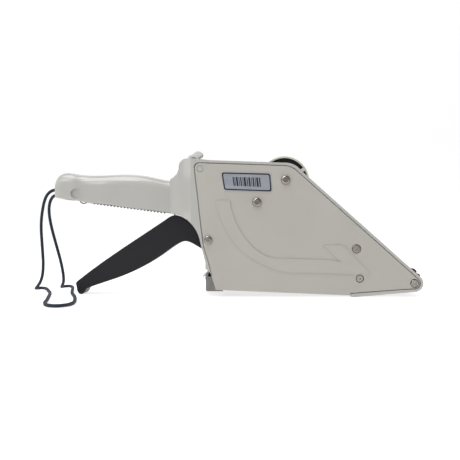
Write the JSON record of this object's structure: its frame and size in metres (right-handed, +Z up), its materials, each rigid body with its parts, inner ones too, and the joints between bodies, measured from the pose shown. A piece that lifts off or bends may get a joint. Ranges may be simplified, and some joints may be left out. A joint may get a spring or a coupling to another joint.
{
  "type": "label applicator gun",
  "caption": "Hand-held label applicator with a squeeze lever, an open-topped body, geared liner feed, spoked label hub and a wrist cord.",
  "frame": {"origin": "on the table under the middle of the body, without the wrist cord", "axes": "+X to the nose, +Z up, the near side cover faces -Y"},
  "size_m": [0.3545, 0.1766, 0.1303],
  "materials": {
    "housing": "satin moulded plastic, warm light grey",
    "side_cover": "satin moulded plastic, warm light grey",
    "cream": "satin moulded plastic",
    "black_plastic": "satin black moulded plastic",
    "nylon": "milky white nylon",
    "nickel": "nickel plated steel",
    "steel": "brushed steel",
    "zinc_sheet": "zinc plated sheet steel",
    "spring_steel": "drawn spring wire",
    "brass": "sintered bronze",
    "rubber": "matt black rubber",
    "felt": "pressed felt",
    "plate": "satin aluminium with a dark border",
    "acetal": "machined acetal",
    "cord": "braided navy cord"
  },
  "bodies": {
    "body": {"near_shell": "housing", "far_shell": "housing", "near_cover": "side_cover", "far_cover": "side_cover", "cover_peg": "side_cover", "name_plate": "plate", "hub_shaft": "steel", "hub_screws": "nickel", "hub_brake_felt": "felt", "hub_brake_spring": "spring_steel", "guide_shaft": "steel", "cover_posts": "steel", "cover_screws": "nickel", "frame_spacer": "steel", "spacer_screws": "nickel", "nose_shaft": "steel", "nose_screws": "nickel", "platen_bushings": "brass", "feed_bushings": "brass", "web_chute": "zinc_sheet", "peel_plate": "steel", "label_lip": "rubber", "edge_guides": "black_plastic", "gate_pin": "steel", "gate_spring": "spring_steel", "return_spring": "spring_steel", "spring_post": "steel", "handle_screw": "nickel", "knob_pin": "steel", "wrist_cord": "cord", "cord_knot": "cord"},
    "lever": {"lever": "black_plastic", "lever_hook_pin": "steel", "lever_shaft": "steel", "lever_screws": "nickel", "sector_gear": "steel"},
    "feed_drive": {"feed_shaft": "steel", "drive_pinion": "acetal", "one_way_clutch": "steel", "feed_roller": "rubber"},
    "label_hub": {"hub_drum": "black_plastic", "hub_cap_near": "cream", "hub_cap_far": "cream"},
    "web_guide": {"guide_roller": "acetal"},
    "platen": {"platen_shaft": "steel", "platen_roller": "rubber"},
    "nose_rollers": {"press_rollers": "rubber"},
    "pinch_gate": {"gate_bracket": "zinc_sheet", "pinch_shaft": "steel", "tear_blade": "steel"},
    "pinch": {"pinch_roller": "rubber"},
    "stop_knob": {"stop_knob": "nylon"},
    "stop_rod": {"stop_rod": "steel"}
  },
  "joints": [
    {"name": "lever_squeeze", "type": "hinge", "parent": "body", "child": "lever", "pos_m": [-0.023, 0, 0.0495], "axis": [0, 1, 0], "range_deg": [0, 20], "stiffness_Nm_per_rad": 0.45, "springref_deg": -76.2, "deforming": ["return_spring"]},
    {"name": "feed_turn", "type": "hinge", "parent": "body", "child": "feed_drive", "pos_m": [-0.00049, 0, 0.02536], "axis": [0, 1, 0], "range_deg": [-91, 1]},
    {"name": "hub_turn", "type": "hinge", "parent": "body", "child": "label_hub", "pos_m": [0.0439, 0, 0.1013], "axis": [0, 1, 0], "continuous": true},
    {"name": "web_guide_turn", "type": "hinge", "parent": "body", "child": "web_guide", "pos_m": [-0.012, 0, 0.07], "axis": [0, 1, 0], "continuous": true},
    {"name": "platen_turn", "type": "hinge", "parent": "body", "child": "platen", "pos_m": [0.1082, 0, 0.016], "axis": [0, 1, 0], "continuous": true},
    {"name": "nose_roller_turn", "type": "hinge", "parent": "body", "child": "nose_rollers", "pos_m": [0.1557, 0, 0.012], "axis": [0, 1, 0], "continuous": true},
    {"name": "gate_swing", "type": "hinge", "parent": "body", "child": "pinch_gate", "pos_m": [0.009, 0, 0.0096], "axis": [0, 1, 0], "range_deg": [-35, 0], "stiffness_Nm_per_rad": 0.05, "springref_deg": 57.3},
    {"name": "pinch_turn", "type": "hinge", "parent": "pinch_gate", "child": "pinch", "pos_m": [-0.0119, 0, 0.01269], "axis": [0, 1, 0], "continuous": true},
    {"name": "stop_knob_tilt", "type": "hinge", "parent": "body", "child": "stop_knob", "pos_m": [-0.0375, 0, 0.1232], "axis": [0, 1, 0], "range_deg": [0, 20]},
    {"name": "stop_rod_slide", "type": "slide", "parent": "body", "child": "stop_rod", "axis": [0, 0, 1], "range_m": [-0.00157, 0]}
  ],
  "couplings": [
    {"joint": "feed_turn", "follows": "lever_squeeze", "ratio": -4.5},
    {"joint": "stop_knob_tilt", "follows": "stop_rod_slide", "rad_per_m": -222}
  ]
}
